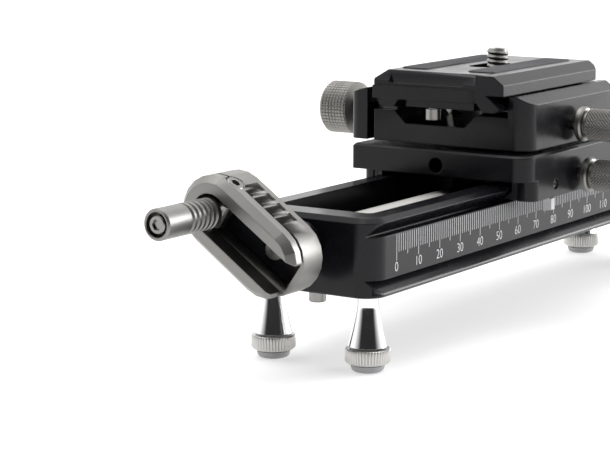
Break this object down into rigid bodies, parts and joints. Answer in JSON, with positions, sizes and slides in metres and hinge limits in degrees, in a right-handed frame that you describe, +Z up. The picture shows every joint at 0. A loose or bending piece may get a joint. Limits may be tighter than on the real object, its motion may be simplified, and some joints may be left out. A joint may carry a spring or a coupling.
{
  "type": "camera slider",
  "caption": "Screw-driven macro focusing rail with a folding crank, sliding carriage, turning quick-release clamp and screw-in feet.",
  "frame": {"origin": "centre of the rail's flat underside", "axes": "+X along the rail away from the crank, the scale side faces -Y, +Z up to the camera"},
  "size_m": [0.2203, 0.0969, 0.0689],
  "materials": {
    "black_anodised": "satin black anodised",
    "silver_grey_anodised": "bead-blasted silver grey anodised",
    "champagne_grey": "knurled champagne grey anodised",
    "steel": "polished",
    "chrome": "mirror polished",
    "satin_steel": "satin, straight knurled",
    "brass": "machined",
    "bronze": "machined",
    "black_polymer": "low-friction polymer",
    "black_rubber": "ribbed rubber",
    "grey_rubber": "matt",
    "white_mark": "matt white"
  },
  "bodies": {
    "rail": {"rail_body": "black_anodised", "front_bearing": "steel", "rear_bearing": "steel", "rear_bore_plug": "black_anodised", "safety_stop_screw_1": "steel", "safety_stop_screw_2": "steel"},
    "foot_front_right": {"foot_cone_front_right": "chrome", "foot_ring_front_right": "satin_steel", "foot_tip_front_right": "grey_rubber"},
    "foot_front_left": {"foot_cone_front_left": "chrome", "foot_ring_front_left": "satin_steel", "foot_tip_front_left": "grey_rubber"},
    "foot_rear_right": {"foot_cone_rear_right": "chrome", "foot_ring_rear_right": "satin_steel", "foot_tip_rear_right": "grey_rubber"},
    "foot_rear_left": {"foot_cone_rear_left": "chrome", "foot_ring_rear_left": "satin_steel", "foot_tip_rear_left": "grey_rubber"},
    "crank": {"lead_screw": "steel", "crank_body": "silver_grey_anodised", "crank_rim": "silver_grey_anodised", "crank_hub": "black_anodised", "crank_fixing_screw": "steel", "handle_hinge_screw": "steel"},
    "handle": {"handle_stem": "steel", "grip_end_screw": "steel"},
    "grip": {"handle_grip": "silver_grey_anodised"},
    "carriage": {"carriage_plate": "black_anodised", "lead_nut": "black_polymer", "gib_strip_left": "black_polymer", "gib_strip_right": "black_polymer", "nut_screw_1": "steel", "nut_screw_2": "steel", "nut_screw_3": "steel", "nut_screw_4": "steel", "gib_set_screw_1": "steel", "gib_set_screw_2": "steel", "scale_pointer": "white_mark", "pan_bolt": "steel"},
    "carriage_lock": {"carriage_lock_knob": "champagne_grey"},
    "clamp": {"clamp_body": "black_anodised", "pan_turntable": "bronze", "pan_brake_plug": "brass", "jaw_guide_pin_1": "steel", "jaw_guide_pin_2": "steel", "jaw_spring_1": "steel", "jaw_spring_2": "steel"},
    "pan_lock": {"pan_lock_knob": "champagne_grey"},
    "jaw": {"movable_jaw": "black_anodised"},
    "jaw_knob": {"clamp_knob": "champagne_grey"},
    "plate": {"quick_release_plate": "black_anodised", "rubber_pad_left": "black_rubber", "rubber_pad_right": "black_rubber", "plate_stop_screw_1": "steel", "plate_stop_screw_2": "steel"},
    "tripod_screw": {"camera_screw": "steel"}
  },
  "joints": [
    {"name": "foot_front_right_turn", "type": "hinge", "parent": "rail", "child": "foot_front_right", "pos_m": [-0.0835, -0.0134, 0], "axis": [0, 0, 1], "continuous": true},
    {"name": "foot_front_left_turn", "type": "hinge", "parent": "rail", "child": "foot_front_left", "pos_m": [-0.0835, 0.0134, 0], "axis": [0, 0, 1], "continuous": true},
    {"name": "foot_rear_right_turn", "type": "hinge", "parent": "rail", "child": "foot_rear_right", "pos_m": [0.0835, -0.0134, 0], "axis": [0, 0, 1], "continuous": true},
    {"name": "foot_rear_left_turn", "type": "hinge", "parent": "rail", "child": "foot_rear_left", "pos_m": [0.0835, 0.0134, 0], "axis": [0, 0, 1], "continuous": true},
    {"name": "crank_turn", "type": "hinge", "parent": "rail", "child": "crank", "pos_m": [-0.098, 0, 0.0119], "axis": [1, 0, 0], "range_deg": [-17300, 17300]},
    {"name": "carriage_slide", "type": "slide", "parent": "rail", "child": "carriage", "axis": [1, 0, 0], "range_m": [-0.06, 0.06]},
    {"name": "handle_fold", "type": "hinge", "parent": "crank", "child": "handle", "pos_m": [-0.1068, 0.01241, 0.0205], "axis": [0, -0.5693, 0.8221], "range_deg": [0, 90]},
    {"name": "grip_spin", "type": "hinge", "parent": "handle", "child": "grip", "pos_m": [-0.1303, 0.01241, 0.0205], "axis": [1, 0, 0], "continuous": true},
    {"name": "carriage_lock_turn", "type": "hinge", "parent": "carriage", "child": "carriage_lock", "pos_m": [0.0015, -0.026, 0.0189], "axis": [0, -1, 0], "range_deg": [0, 360]},
    {"name": "clamp_pan", "type": "hinge", "parent": "carriage", "child": "clamp", "pos_m": [0.0015, 0, 0.0273], "axis": [0, 0, 1], "continuous": true},
    {"name": "pan_lock_turn", "type": "hinge", "parent": "clamp", "child": "pan_lock", "pos_m": [0.0015, -0.024, 0.0321], "axis": [0, -1, 0], "range_deg": [0, 360]},
    {"name": "jaw_slide", "type": "slide", "parent": "clamp", "child": "jaw", "axis": [0, 1, 0], "range_m": [0, 0.003]},
    {"name": "jaw_knob_turn", "type": "hinge", "parent": "jaw", "child": "jaw_knob", "pos_m": [0.0015, 0.034, 0.0319], "axis": [0, 1, 0], "range_deg": [0, 1081]},
    {"name": "plate_slide", "type": "slide", "parent": "clamp", "child": "plate", "axis": [1, 0, 0], "range_m": [-0.006, 0.005]},
    {"name": "camera_screw_turn", "type": "hinge", "parent": "plate", "child": "tripod_screw", "pos_m": [0.003, 0, 0.0464], "axis": [0, 0, 1], "continuous": true}
  ],
  "couplings": [
    {"joint": "crank_turn", "follows": "carriage_slide", "rad_per_m": -5026.5},
    {"joint": "jaw_knob_turn", "follows": "jaw_slide", "rad_per_m": 6283.2}
  ]
}
